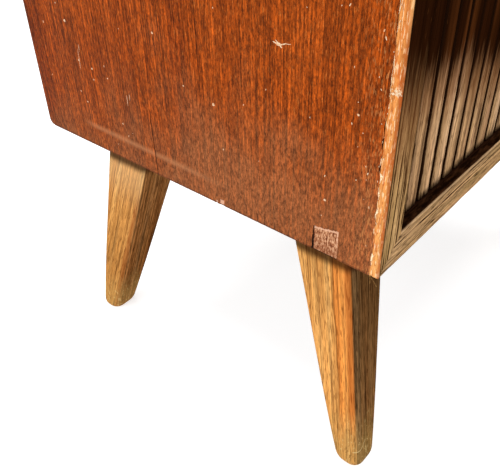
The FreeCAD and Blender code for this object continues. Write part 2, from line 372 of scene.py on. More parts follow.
def along(look, axis):
    """The table's position with the grain's axis turned to the third place."""
    x, y, z = look.where()
    order = {"x": (y, z, x), "y": (x, z, y), "z": (x, y, z)}[axis]
    return look.join(*order)


def grey(value):
    return (value, value, value)


def varnished_wood(look, grain, dark, middle, light, pore, pore_share=0.62, contrast=1.0):
    """Colour and height of straight-grained wood: broad bands, growth lines, fibres and pores."""
    bands = look.noise(grain, (26, 26, 1.6))
    lines = look.noise(grain, (210, 210, 4), 3.0, 0.6)
    fibres = look.noise(grain, (850, 850, 30), 3.0, 0.6)
    pores = look.noise(grain, (1300, 1300, 110), 1.0)
    colour = look.ramp(bands, (0.32, dark), (0.5, middle), (0.68, light))
    colour = look.contrast(colour, lines, 0.34, 1 - 0.34 * contrast, 0.64, 1 + 0.30 * contrast)
    colour = look.contrast(colour, fibres, 0.32, 1 - 0.26 * contrast, 0.68, 1 + 0.26 * contrast)
    flecks = look.rise(pores, pore_share, pore_share + 0.1)
    colour = look.mix(look.times(flecks, 0.75), colour, pore)
    height = look.plus(look.times(fibres, 0.6), look.times(flecks, -0.5))
    return colour, height


# ---- the cabinet's veneer ----

VENEER_DARK = on_side(124, 49, 8)
VENEER_MIDDLE = on_side(150, 64, 10)
VENEER_LIGHT = on_side(164, 74, 18)
VENEER_PORE = on_side(222, 130, 58)
FADED = on_side(154, 98, 60)
GLUE = on_side(282, 246, 196)
CORE_DARK = on_side(104, 50, 28)
BARE_CORE = on_side(190, 124, 84)
CORE_LIGHT = on_side(242, 188, 146)
BLACK = (0.006, 0.003, 0.002)


def red_veneer(look, grain):
    """Colour and height of the reddish veneer: fine pale streaks over darker bands."""
    bands = look.noise(grain, (22, 22, 1.2))
    lines = look.noise(grain, (540, 540, 4), 2.0, 0.7)
    streaks = look.noise(grain, (760, 760, 30), 2.0, 0.7)
    pores = look.noise(grain, (900, 900, 120), 1.0)
    colour = look.ramp(bands, (0.28, VENEER_DARK), (0.5, VENEER_MIDDLE), (0.72, VENEER_LIGHT))
    colour = look.contrast(colour, lines, 0.34, 0.58, 0.66, 1.42)
    colour = look.contrast(colour, streaks, 0.34, 0.58, 0.66, 1.44)
    flecks = look.rise(pores, 0.60, 0.70)
    colour = look.mix(look.times(flecks, 0.3), colour, VENEER_PORE)
    height = look.plus(look.times(streaks, 0.6), look.times(flecks, -0.4))
    return colour, height


def faded_veneer(look, colour, patchy):
    """Dull near the floor, more so towards the front, and darker low down at the rear."""
    y, z = look.where()[1:]
    level = look.plus(z, look.times(look.minus(patchy, 0.5), 0.22))
    level = look.plus(level, look.times(look.math("MAXIMUM", y, 0.0), 0.42))
    dull = look.mix(0.60, colour, FADED)
    colour = look.mix(look.rise(level, FADE_START, FADE_END), colour, dull)
    rear = look.times(look.rise(y, 0.0, 0.14), look.rise(z, 0.46, 0.38))
    return look.mix(rear, colour, look.tint(colour, (0.82, 0.78, 0.68)))


def soiled_veneer(look, colour, grain):
    """Speckled and grimy, with pale dashes near the front and a dark bottom edge."""
    y, z = look.where()[1:]
    speckle = look.noise(grain, (760, 760, 240), 2.0, 0.8)
    speckle = look.ramp(speckle, (0.34, grey(0.46)), (0.5, grey(0.98)), (0.66, grey(1.62)))
    colour = look.tint(colour, speckle)
    grime = look.noise(grain, (60, 60, 18), 4.0, 0.7)
    colour = look.mix(look.rise(grime, 0.55, 0.75, 0.35), colour, on_side(86, 34, 14))
    by_edge = look.rise(y, FRONT + 38 * MM, FRONT + 8 * MM)
    dashes = look.rise(look.noise(grain, (1000, 1000, 190), 1.0), 0.58, 0.66, 0.45)
    colour = look.mix(look.times(dashes, by_edge), colour, on_side(240, 160, 92))
    arris = look.rise(z, UNDERSIDE + 2.4 * MM, UNDERSIDE + 0.6 * MM, 0.55)
    return look.mix(arris, colour, on_side(72, 34, 16))


def side_veneer():
    """Saturated above, faded and dull near the floor, dark in its cracks and pale where rubbed."""
    look = Look("side_veneer")
    grain = look.stored("grain")
    colour, height = red_veneer(look, grain)
    patchy = look.mottle((14, 14, 9), 3.0, 0.6)
    colour = faded_veneer(look, colour, patchy)
    colour = soiled_veneer(look, colour, grain)
    colour = look.mix(look.stored("rub", "Fac"), colour, on_side(206, 138, 92))
    colour = look.mix(look.stored("wear", "Fac"), colour, BLACK)
    rough = look.plus(0.42, look.times(patchy, 0.2))
    return look.finish(colour, height, 0.5, 0.25 * MM, rough)


def bare_patch(look, y, z):
    """The speckled core in the missing square, paler at its upper and front rims."""
    torn_up = look.mottle((700, 700, 260), 3.0, 0.75)
    core = look.ramp(torn_up, (0.39, CORE_DARK), (0.5, BARE_CORE), (0.61, CORE_LIGHT))
    core = look.mix(look.rise(z, PATCH_TOP - 8 * MM, UNDERSIDE, 0.45), core, on_side(146, 84, 52))
    slanted = look.plus(z, look.times(look.minus(y, PATCH_FRONT), PATCH_SLANT))
    rim_top = look.window(slanted, PATCH_TOP - 1.8 * MM, PATCH_TOP + 2 * MM, 0.6 * MM, 0.75)
    rim_front = look.window(y, PATCH_FRONT - 1 * MM, PATCH_FRONT + 1.2 * MM, 0.5 * MM, 0.75)
    rim_front = look.times(rim_front, look.rise(z, PATCH_TOP - 22 * MM, PATCH_TOP))
    return look.mix(look.math("MAXIMUM", rim_top, rim_front), core, on_side(246, 190, 156))


def veneer_ground():
    """Under missing veneer: speckled core in the patch, black in the split, glue in front."""
    look = Look("veneer_ground", 0.7)
    y, z = look.where()[1:]
    split = look.window(y, PATCH_REAR + 0.1 * MM, PATCH_REAR + 4 * MM, 0.3 * MM)
    core = look.mix(split, bare_patch(look, y, z), BLACK)
    speckle = look.mottle(grey(620), 2.0, 0.7)
    glue = look.ramp(speckle, (0.36, on_side(226, 156, 96)), (0.5, GLUE), (0.66, on_side(288, 264, 226)))
    front = look.rise(y, FRONT + LIPPING + 6 * MM, FRONT + LIPPING + 4 * MM)
    return look.finish(look.mix(front, core, glue), speckle, 0.8, 0.3 * MM)


def plain_veneer(name, axis):
    """The same veneer where nothing has been stored on the mesh."""
    look = Look(name, 0.5)
    colour, height = red_veneer(look, along(look, axis))
    colour = look.tint(colour, grey(0.72))
    patchy = look.mottle((11, 11, 11), 3.0, 0.6)
    rough = look.plus(0.38, look.times(patchy, 0.2))
    return look.finish(colour, height, 0.45, 0.25 * MM, rough)


# ---- old bare wood of the front ----

STAIN_END = 402 * MM  # height where the dark finish gives out, except on the rails
STAIN_END_RAILS = 640 * MM
ARRIS_DARK_TOP = 460 * MM  # a side edging's front arris is dark below this
ARRIS_PALE_LOW = 485 * MM  # and pale above this, as a painted highlight
BARE_DARK = on_front(142, 106, 74)
BARE_MIDDLE = on_front(174, 136, 96)
BARE_LIGHT = on_front(194, 156, 118)
BARE_PORE = on_front(70, 44, 26)
STAIN = on_front(34, 14, 4)
STAIN_LIGHT = on_front(74, 38, 14)
BROWNED = on_front(108, 66, 36)
ORANGE_DARK = on_side(222, 134, 64)
ORANGE_MIDDLE = on_side(250, 178, 104)
ORANGE_LIGHT = on_side(255, 218, 154)


def bare_colour(look, grain):
    """Weathered brown wood, darkened in its open grooves."""
    colour, height = varnished_wood(look, grain, BARE_DARK, BARE_MIDDLE, BARE_LIGHT, BARE_PORE, 0.58, 1.5)
    blotch = look.noise(grain, (70, 70, 9), 3.0, 0.7)
    olive = look.rise(blotch, 0.5, 0.72, 0.5)
    colour = look.mix(olive, colour, on_front(124, 100, 58))
    pink = look.rise(blotch, 0.47, 0.28, 0.4)
    colour = look.mix(pink, colour, on_front(176, 128, 102))
    sunk = look.rise(look.stored("wear", "Fac"), 0.2, 0.65)
    return look.mix(sunk, colour, on_front(54, 32, 16)), height


def stain_colour(look, grain):
    """What is left of the near-black finish."""
    return varnished_wood(look, grain, STAIN, STAIN, STAIN_LIGHT, on_front(96, 56, 26), 0.7)[0]


def stained(look, grain, bare, level, spread):
    """Bare wood browned, and higher up stained near-black, with ragged upper and lower bounds."""
    brown = look.times(stain_share(look, grain, level - 0.6 * spread, spread), 0.7)
    colour = look.mix(brown, bare, BROWNED)
    black = stain_share(look, grain, level + 0.6 * spread, 0.8 * spread)
    return look.mix(black, colour, stain_colour(look, grain))


def stain_share(look, grain, level, spread):
    """1 where the dark finish is whole, falling raggedly to 0 below level."""
    x, _, z = look.where()
    by_board = look.mottle((46, 46, 3), 1.0)
    streaks = look.noise(grain, (420, 420, 22), 3.0, 0.7)
    wander = look.times(look.minus(by_board, 0.5), 0.03)
    wander = look.plus(wander, look.rise(x, -0.20, -0.07, 0.026))
    fray = look.times(look.minus(streaks, 0.5), 0.07)
    height = look.plus(z, look.plus(wander, fray))
    return look.rise(height, level - spread, level + spread)


def slat_wood(name, grain):
    """Bare below, stained above, near-black down the sides as painted shade in the gaps, and darkened at
    the foot as painted shade.
    """
    look = Look(name, 0.6, 0.0)
    grain = grain(look)
    colour, height = bare_colour(look, grain)
    colour = look.contrast(colour, look.noise(grain, (0.9, 0, 0)), 0.35, 0.86, 0.65, 1.16)
    colour = stained(look, grain, colour, STAIN_END, 24 * MM)
    # darker at the foot: painted shade where the slats go down behind the rail
    foot = look.rise(look.where()[2], LEDGE + 10 * MM, LEDGE + 1 * MM, 0.9)
    colour = look.mix(foot, colour, on_front(24, 10, 5))
    # near-black down the sides: painted shade in the gaps between the slats
    back = look.parts(grain)[1]
    colour = look.mix(look.rise(back, 0.4 * MM, 1.4 * MM), colour, on_front(40, 21, 10))
    return look.finish(colour, height, 0.7, 0.35 * MM)


def stored_grain(look):
    return look.stored("grain")


def last_slat_grain(look):
    """Grain of the door's last slat, whose rounded end is kept as it was drawn."""
    x, y, z = look.where()
    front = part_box("door_slat_01")[0].y
    return look.join(look.plus(x, 90.0), look.minus(y, front), z)


def edge_colour(look, grain):
    """Orange wood with redder blotches, pale dashes and brown specks, and a front arris that is darker low
    down and carries a painted highlight higher up.
    """
    orange = varnished_wood(look, grain, ORANGE_DARK, ORANGE_MIDDLE, ORANGE_LIGHT, GLUE, 0.66)[0]
    blotch = look.noise(grain, (220, 220, 45), 3.0, 0.6)
    orange = look.mix(look.rise(blotch, 0.48, 0.62, 0.6), orange, on_side(210, 92, 34))
    dashes = look.noise(grain, (900, 900, 150), 1.0)
    orange = look.mix(look.rise(dashes, 0.56, 0.64, 0.6), orange, GLUE)
    specks = look.noise(grain, (620, 620, 210), 2.0, 0.7)
    orange = look.mix(look.rise(specks, 0.53, 0.66, 0.6), orange, on_side(176, 92, 38))
    y, z = look.where()[1:]
    edge = look.rise(y, FRONT + 3.2 * MM, FRONT + 1 * MM, 0.6)
    below = look.mix(edge, orange, on_side(190, 92, 38))
    # painted highlight along the front arris higher up
    above = look.mix(edge, orange, on_side(255, 190, 118))
    return look.mix(look.rise(z, ARRIS_DARK_TOP, ARRIS_PALE_LOW), below, above)


def side_lipping(sign):
    """Orange on the side face, weathered and partly stained on the front face."""
    name = "left" if sign < 0 else "right"
    look = Look(name + "_lipping_wood", 0.6, 0.0)
    grain = look.stored("grain")
    bare, height = bare_colour(look, grain)
    bare = look.tint(bare, (0.97, 0.97, 0.82))
    front = stained(look, grain, bare, STAIN_END, 42 * MM)
    inward = look.minus(HALF_WIDTH, look.math("ABSOLUTE", look.where()[0]))
    # painted shade: a dark line on the front face just inside the rounded arris
    arris_shade = look.window(inward, 1.2 * MM, 2.4 * MM, 1.0 * MM, 0.6)
    front = look.mix(arris_shade, front, on_front(30, 15, 6))
    turned = look.rise(inward, 0.5 * MM, 1.4 * MM)
    colour = look.mix(turned, edge_colour(look, grain), front)
    return look.finish(colour, height, 0.7, 0.35 * MM)


def rail_lipping():
    """Weathered front face, and the near-black ledge above it, partly dirt and partly painted shade."""
    look = Look("rail_lipping_wood", 0.6, 0.0)
    grain = look.stored("grain")
    bare, height = bare_colour(look, grain)
    bare = look.tint(bare, (0.88, 0.88, 0.82))
    bare = stained(look, grain, bare, STAIN_END_RAILS, 50 * MM)
    y, z = look.where()[1:]
    arris = look.window(z, LEDGE - 1.4 * MM, LEDGE + 1 * MM, 0.5 * MM, 0.45)
    bare = look.mix(arris, bare, on_front(214, 176, 134))
    # the ledge behind the front face: near-black, partly dirt and partly painted shade of the recess
    behind = look.rise(y, FRONT + 0.6 * MM, FRONT + 1.6 * MM)
    inner = look.window(z, UNDERSIDE + 4 * MM, WORKTOP - 4 * MM, 1 * MM)
    ledge = look.times(behind, inner)
    grime = look.noise(grain, (300, 300, 60), 4.0, 0.7)
    dark = look.ramp(grime, (0.45, on_front(20, 8, 3)), (0.78, on_front(70, 42, 24)))
    return look.finish(look.mix(ledge, bare, dark), height, 0.7, 0.35 * MM)


def dark_board(name, axis):
    look = Look(name, 0.6)
    grain = along(look, axis)
    return look.finish(stain_colour(look, grain))


# ---- legs ----

LEG_DARK = on_side(222, 158, 88)
LEG_MIDDLE = on_side(238, 178, 104)
LEG_LIGHT = on_side(250, 198, 126)
LEG_PORE = on_side(104, 56, 22)
# darkens the faces that look forward and back; part of this is painted shade of faces turned from the light
LEG_AWAY_AND_SHADE = (0.26, 0.23, 0.24)
MID_DEPTH = 50 * MM  # the front legs' marks change to the rear legs' within this of the middle
HEARTWOOD = 19 * MM  # how far back from its front face a leg is orange
LEG_FOOT = (37 * MM, 31.5 * MM)  # a leg's width and depth at the floor
LEG_TOP = (60 * MM, 70 * MM)  # and under the cabinet
FOOT_ROUND = 9 * MM  # height of the leg's rounded end
FOOT_TUCK = 4.2 * MM  # how far it draws in at the floor
LEG_ARRIS = 7.5 * MM  # radius of a leg's worn arrises
FOOT_ARRIS = 4.5 * MM  # added to it at the floor, and less higher up
LEG_RINGS = 96


def leg_grain(look, grain):
    """Colour and height of light open-grained wood with dark pores and a few dark rings."""
    bands = look.noise(grain, (70, 70, 1.5))
    lines = look.noise(grain, (420, 420, 6), 3.0, 0.7)
    fibres = look.noise(grain, (680, 680, 40), 3.0, 0.75)
    rings = look.noise(grain, (120, 120, 1.6), 2.0, 0.5)
    pores = look.noise(grain, (760, 760, 75), 1.0)
    colour = look.ramp(bands, (0.34, LEG_DARK), (0.5, LEG_MIDDLE), (0.66, LEG_LIGHT))
    colour = look.contrast(colour, lines, 0.38, 0.66, 0.56, 1.15)
    colour = look.contrast(colour, fibres, 0.32, 0.60, 0.68, 1.36)
    dark_ring = look.window(rings, 0.494, 0.508, 0.012, 0.55)
    colour = look.mix(dark_ring, colour, LEG_PORE)
    dark_pore = look.rise(pores, 0.56, 0.66, 0.6)
    colour = look.mix(dark_pore, colour, LEG_PORE)
    return colour, look.plus(lines, look.times(fibres, 0.5))


def leg_figure(look, colour):
    """Orange towards the front with a dark seam behind it, and dark along the arrises."""
    wander = look.times(look.minus(look.mottle(grey(14)), 0.5), 9 * MM)
    depth = look.plus(look.stored("from_front", "Fac"), wander)
    y, z = look.where()[1:]
    lasting = look.times(look.rise(z, 0.035, 0.085), look.rise(y, MID_DEPTH, -MID_DEPTH))
    orange = look.times(look.window(depth, 0.0, HEARTWOOD, 0.8 * MM), lasting)
    tan = look.tint(colour, (1.07, 0.96, 0.84))
    rusty = look.tint(colour, (1.22, 0.88, 0.60))
    colour = look.mix(orange, tan, rusty)
    seam = look.window(depth, HEARTWOOD - 0.4 * MM, HEARTWOOD + 0.6 * MM, 0.8 * MM, 0.55)
    colour = look.mix(look.times(seam, lasting), colour, LEG_PORE)
    rear = look.times(look.rise(y, -MID_DEPTH, MID_DEPTH), look.rise(z, 0.24, 0.16))
    arris = look.rise(depth, 9.5 * MM, 5.5 * MM, 0.55)
    arris = look.times(arris, look.math("MAXIMUM", lasting, rear))
    return look.mix(arris, colour, on_side(176, 84, 30))


def leg_away_and_shade(look, colour, height, rear, z):
    """The brown of the faces that look forward and back, partly painted shade, and darker towards the top
    as painted shade under the cabinet.
    """
    # painted shade under the cabinet: darker towards the top
    painted_shade_by_height = look.ramp(z, (0.05, grey(1.25)), (0.16, grey(1.05)), (0.27, grey(0.72)))
    away = look.tint(look.tint(colour, LEG_AWAY_AND_SHADE), painted_shade_by_height)
    away = look.contrast(away, look.times(height, 0.6), 0.38, 0.7, 0.53, 1.25)
    return look.mix(rear, away, look.tint(away, (1.80, 1.60, 1.45)))


def leg_foot(look, colour, rear, z):
    """Grimy towards the floor, with a pale, scuffed and stained foot."""
    above = look.minus(z, look.times(rear, 0.10))
    strength = look.plus(0.45, look.times(rear, 0.35))
    grime = look.times(look.rise(above, 0.13, -0.02), strength)
    colour = look.mix(grime, colour, look.tint(colour, (0.60, 0.55, 0.48)))
    grubby = look.mottle((60, 60, 30), 3.0, 0.6)
    low = look.plus(z, look.times(look.minus(grubby, 0.5), 0.09))
    foot = look.rise(low, 0.070, 0.020)
    colour = look.mix(look.times(foot, 0.36), colour, on_side(212, 168, 96))
    scuffs = look.mottle((420, 420, 130), 3.0, 0.7)
    scuffed = look.times(look.rise(scuffs, 0.58, 0.66, 0.7), foot)
    colour = look.mix(scuffed, colour, on_side(238, 204, 136))
    stains = look.times(look.rise(scuffs, 0.42, 0.34, 0.6), foot)
    return look.mix(stains, colour, on_side(92, 56, 22))


def leg_wood():
    """Light open-grained wood, browner on the faces that look forward and back, partly as painted shade,
    and with a painted shadow of the cabinet at the top.
    """
    look = Look("leg_wood", 0.6, 0.0)
    plain, height = leg_grain(look, look.stored("grain"))
    x, y, z = look.where()
    # browner on the faces that look forward and back, partly as painted shade of faces turned from the
    # light
    facing_y = look.math("ABSOLUTE", look.parts(look.facing())[1])
    brown = look.rise(facing_y, 0.66, 0.82)
    rear = look.rise(y, -MID_DEPTH, MID_DEPTH)
    away = leg_away_and_shade(look, plain, height, rear, z)
    colour = look.mix(brown, leg_figure(look, plain), away)
    pale = look.times(rear, look.rise(z, 0.17, 0.23, 0.3))
    pale = look.times(pale, look.minus(1.0, brown))
    colour = look.mix(pale, colour, on_side(246, 206, 154))
    # painted shadow of the cabinet's bottom edge across the top of the leg
    cabinet_shadow = look.rise(z, UNDERSIDE - 47 * MM, UNDERSIDE - 37 * MM, 0.88)
    colour = look.mix(cabinet_shadow, colour, on_side(56, 28, 12))
    colour = leg_foot(look, colour, rear, z)
    colour = look.mix(foot_scratch(look, x, y, z), colour, on_side(255, 226, 160))
    return look.finish(colour, height, 0.6, 0.3 * MM)


def foot_scratch(look, x, y, z):
    """The pale curved scratch low on the front face of the front left foot."""
    from_arris = look.plus(x, HALF_WIDTH - 18 * MM)
    rising = look.times(look.math("POWER", look.math("MAXIMUM", from_arris, 0.0), 2.0), 45)
    above = look.minus(z, look.plus(rising, 22 * MM))
    line = look.window(above, 0.0, 0.5 * MM, 0.4 * MM)
    stretch = look.window(x, -HALF_WIDTH + 17 * MM, -HALF_WIDTH + 32 * MM, 1 * MM)
    here = look.times(look.times(line, stretch), look.rise(y, -0.16, -0.19))
    return look.times(here, 0.75)


# ---- metal, felt and the rest ----

def metal(name, colour, roughness):
    look = Look(name, roughness)
    look.feed(look.shader, {"Metallic": 1.0})
    stains = look.mottle((140, 140, 140), 4.0, 0.6)
    tint = look.ramp(stains, (0.35, tuple(0.62 * c for c in colour)), (0.65, colour))
    scratches = look.mottle((2500, 300, 2500))
    rough = look.plus(roughness - 0.1, look.times(scratches, 0.25))
    return look.finish(tint, scratches, 0.1, 0.05 * MM, rough)


def speckled(name, roughness, cells, dark, light, bump, reach, detail=2.0, grit=0.5):
    """A plain material speckled between two colours, each given with its place in the noise."""
    look = Look(name, roughness)
    speckle = look.mottle(grey(cells), detail, grit)
    return look.finish(look.ramp(speckle, dark, light), speckle, bump, reach)


def pale_wood(name, axis, dark, middle, light):
    look = Look(name, 0.55)
    colour, height = varnished_wood(look, along(look, axis), dark, middle, light,
                                    tuple(0.5 * c for c in dark), 0.64, 0.6)
    return look.finish(colour, height, 0.4, 0.25 * MM)


# ---- pieces ----

def make_lippings():
    """The four mitred edgings of the cabinet's front."""
    side_outline = section(BOARD, LIPPING, 1.1 * MM, 0.7 * MM)
    top_outline = section(WORKTOP_BOARD, LIPPING, 1.1 * MM, 0.7 * MM)
    slope = WORKTOP_BOARD / BOARD

    for sign, name in ((-1, "left_side_lipping"), (1, "right_side_lipping")):
        def place(across, back, t, sign=sign):
            low = UNDERSIDE + across
            high = WORKTOP - across * slope
            return Vector((sign * (HALF_WIDTH - across), FRONT + back, low + t * (high - low)))

        piece = sweep_board("worn_" + name, side_outline, place, WORKTOP - UNDERSIDE, 1.8 * MM,
                            0.55 * MM, 3.0 + sign, "cabinet", side_lipping(sign),
                            SIDE_GROOVES)
        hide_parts(name)

    material = rail_lipping()

    def place_bottom(across, back, t):
        half = HALF_WIDTH - across
        return Vector((-half + t * 2 * half, FRONT + back, UNDERSIDE + across))

    def place_top(across, back, t):
        half = HALF_WIDTH - across / slope
        return Vector((-half + t * 2 * half, FRONT + back, WORKTOP - across))

    for name, outline, place, seed in (("bottom_board_lipping", side_outline, place_bottom, 11.0),
                                       ("worktop_lipping", top_outline, place_top, 17.0)):
        piece = sweep_board("worn_" + name, outline, place, 2 * HALF_WIDTH, 1.8 * MM, 0.55 * MM,
                            seed, "cabinet", material, RAIL_GROOVES)
        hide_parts(name)


def make_slats():
    """The door's slats, each with its own worn grain."""
    material = slat_wood("slat_wood", stored_grain)
    names = sorted(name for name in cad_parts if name.startswith("door_slat_"))
    for index, name in enumerate(names[:-1]):
        low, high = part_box(name)

        def place(across, back, t, low=low, high=high):
            return Vector((low.x + SLAT_WEAR + across, low.y + back, low.z + t * (high.z - low.z)))

        outline = section(high.x - low.x - 2 * SLAT_WEAR, high.y - low.y, 1.3 * MM, 0.85 * MM)
        piece = sweep_board("worn_" + name, outline, place, high.z - low.z, 3 * MM, 0.4 * MM,
                            31.0 + 5 * index, "door", material)
        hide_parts(name)
    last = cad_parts[names[-1]].data
    last.materials.clear()
    last.materials.append(slat_wood("end_slat_wood", last_slat_grain))


def leg_ring(size, radius, per_side, per_corner):
    """A rounded rectangle about the origin, as points with outward normals."""
    half_x = size[0] / 2 - radius
    half_y = size[1] / 2 - radius
    points = []
    signs = ((1, 1), (-1, 1), (-1, -1), (1, -1))
    corners = [Vector((x * half_x, y * half_y)) for x, y in signs]
    for index, centre in enumerate(corners):
        quarter_turn(points, centre, radius, 90 * index, per_corner, 1)
        out = points[-1][1]
        end = corners[(index + 1) % 4] + radius * out
        straight(points, centre + radius * out, end, out, per_side, 1)
    return points


def make_leg(name, material, seed):
    """One tapered leg, its arrises worn round and its foot rubbed away."""
    low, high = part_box(name)
    side = math.copysign(1, low.x)
    outer = [max(a, b, key=abs) for a, b in zip(low, high)]
    inner = [min(a, b, key=abs) for a, b in zip(low, high)]
    foot = Vector([a - math.copysign(size / 2, a) for a, size in zip(outer, LEG_FOOT)])
    top = Vector([a + math.copysign(size / 2, a) for a, size in zip(inner, LEG_TOP)])
    height = high.z
    verts, grain, from_front = [], [], []
    for i in range(LEG_RINGS + 1):
        z = height * (i / LEG_RINGS) ** 1.15
        share = z / height
        centre = foot.lerp(top, share)
        size = [a + (b - a) * share for a, b in zip(LEG_FOOT, LEG_TOP)]
        tuck = 0.0
        if z < FOOT_ROUND:
            tuck = FOOT_TUCK * (1 - math.sqrt(max(0.0, 1 - (1 - z / FOOT_ROUND) ** 2)))
        radius = LEG_ARRIS + FOOT_ARRIS * math.exp(-z / (45 * MM)) + 0.5 * tuck
        for point, out in leg_ring(size, radius, 9, 6):
            wave = ripple(point.x, point.y, z, 26 * MM, 120 * MM, seed)
            ridge = ripple(point.x, point.y, z, 2.4 * MM, 60 * MM, seed + 3)
            inset = tuck + 0.35 * MM * (0.5 + wave) * (1 if z < height - 1 * MM else 0)
            inset += 0.12 * MM * max(0.0, ridge)
            moved = point - out * inset
            verts.append(Vector((centre.x + moved.x, centre.y + moved.y, z)))
            grain.append((size[0] / 2 - side * point.x + seed, point.y + size[1] / 2, z))
            from_front.append(point.y + size[1] / 2)
    faces = tube_faces(LEG_RINGS + 1, len(verts) // (LEG_RINGS + 1))
    piece = new_piece("worn_" + name, verts, faces, "cabinet", material)
    store_vector(piece, "grain", grain)
    store_number(piece, "from_front", from_front)
    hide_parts(name)


def make_legs():
    material = leg_wood()
    names = sorted(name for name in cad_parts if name.endswith("_leg"))
    for index, name in enumerate(names):
        make_leg(name, material, 5.0 + 13 * index)


def spaced(start, end, coarse, runs):
    """Grid lines from start to end, coarse except in each run (low, high, step)."""
    values = [start]
    while values[-1] < end - 1e-9:
        here = values[-1]
        step = coarse
        for low, high, fine in runs:
            if low - 1e-9 <= here < high - 1e-9:
                step = min(fine, high - here)
                break
            if here < low < here + step:
                step = low - here
        values.append(min(end, here + step))
    return values


def edge_line(z):
    """Where the veneer stops short of the cabinet's front, further back higher up."""
    return min(FRONT + LIPPING - 0.5 * MM, FRONT + VENEER_EDGE + EDGE_SLANT * (z - UNDERSIDE))


def wear_at(z):
    """The veneer's edge is broken most near the floor."""
    return max(0.45, min(1.0, 1 - (z - 400 * MM) / (60 * MM)))


def chip_depth(z, sign):
    """How far the veneer has broken back from its edge at a height."""
    long_chip = noise.noise(Vector((z / (34 * MM), 3.1 * sign, 0)))
    short_chip = noise.noise(Vector((z / (6 * MM), 9.7 * sign, 0)))
    return MM * wear_at(z) * max(0.0, 0.5 + 1.2 * long_chip + 1.6 * short_chip)


def glue_depth(z, sign):
    """How far traces of glue reach in front of the broken veneer, or below 0 behind its edge."""
    beads = noise.noise(Vector((z / (7 * MM), 5.3 * sign, 2)))
    crumbs = noise.noise(Vector((z / (2.5 * MM), 8.1 * sign, 2)))
    return MM * wear_at(z) * max(-0.5, 0.2 + 3.0 * beads + 1.2 * crumbs)


def crack_line(z):
    """The middle of the long crack at a height, or None above and below it."""
    for (y0, z0), (y1, z1) in zip(CRACK, CRACK[1:]):
        if z0 * MM <= z <= z1 * MM:
            return MM * (y0 + (y1 - y0) * (z / MM - z0) / (z1 - z0))
    return None


def torn(y, z):
    """True where the left side's veneer is missing."""
    ragged = 0.7 * MM * noise.noise(Vector((y / (1.6 * MM), z / (1.6 * MM), 4)))
    patch_top = PATCH_TOP - PATCH_SLANT * (y - PATCH_FRONT) + ragged
    if PATCH_FRONT + ragged < y < PATCH_REAR and z < patch_top:
        return True
    narrowing = SPLIT_WIDTH * (1 - 0.7 * (z - UNDERSIDE) / (SPLIT_TOP - UNDERSIDE))
    if PATCH_REAR <= y < PATCH_REAR + narrowing and z < SPLIT_TOP:
        return True
    return any(low * MM < y < high * MM and z < UNDERSIDE + height * MM + ragged
               for low, high, height in CHIPS)


def marks(y, z):
    """How far the veneer's face is moved outwards, how black and how rubbed it is."""
    middle = crack_line(z)
    if middle is not None and abs(y - middle) < CRACK_HALF:
        return -0.28 * MM, 0.85, 0.0
    for crack, height in EDGE_CRACKS:
        if abs(y - crack * MM) < CRACK_HALF and z < UNDERSIDE + height * MM:
            return -0.2 * MM, 0.6, 0.0
    line = JOINT_HEIGHT + 0.012 * y
    fade = min(1.0, (y - JOINT_FRONT) / (60 * MM), (JOINT_REAR - y) / (20 * MM))
    over = 1 - abs(z - line) / (4.4 * MM)
    if over > 0 and fade > 0:
        return 0.12 * MM * over * fade, 0.0, 0.5 * over * fade
    return 0.0, 0.0, 0.0


def bearer_holes():
    """The middle and bottom of each bearer's hole, in y and z, and its half width."""
    holes = []
    for name in ("front_bearer", "rear_bearer"):
        low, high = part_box(name)
        holes.append(((low.y + high.y) / 2, low.z, (high.y - low.y) / 2 + 0.3 * MM))
    return holes


def in_hole(y, z, hole):
    middle, low, half = hole
    round_part = (y - middle) ** 2 + (z - low) ** 2 < SCOOP ** 2
    slot_part = abs(y - middle) < half and low < z < CEILING
    return round_part or slot_part


def in_holes(y, z, holes):
    return any(in_hole(y, z, hole) for hole in holes)


def onto_hole(vert, hole):
    """Move a point at the edge of a hole onto the hole's true outline."""
    middle, low, half = hole
    offset = Vector((vert.co.y - middle, vert.co.z - low))
    if not 0 < offset.length < SCOOP + 9 * MM:
        return
    if offset.y < math.sqrt(SCOOP ** 2 - half ** 2):
        kept = offset.normalized() * SCOOP
        vert.co.y = middle + kept.x
        vert.co.z = low + kept.y
        return
    reach = 0.4 * half if vert.co.z < CEILING - 0.5 * MM else 0.8 * MM
    if abs(abs(offset.x) - half) < reach:
        vert.co.y = middle + math.copysign(half, offset.x)


def fill_sheet(form, rows, columns, x, front_at, gone):
    """Add a flat sheet with its front columns pulled to front_at(z), except where it is gone."""
    grid = []
    for z in rows:
        front = front_at(z)
        line = []
        for y in columns:
            pull = max(0.0, 1 - (y - columns[0]) / PULL_REACH)
            line.append(form.verts.new((x, y + pull * (front - columns[0]), z)))
        grid.append(line)
    for i in range(len(rows) - 1):
        for j in range(len(columns) - 1):
            loop = [grid[i][j], grid[i][j + 1], grid[i + 1][j + 1], grid[i + 1][j]]
            if not gone((loop[0].co.y + loop[1].co.y) / 2, (rows[i] + rows[i + 1]) / 2):
                form.faces.new(loop)
    loose = [v for v in form.verts if not v.link_faces]
    bmesh.ops.delete(form, geom=loose, context="VERTS")


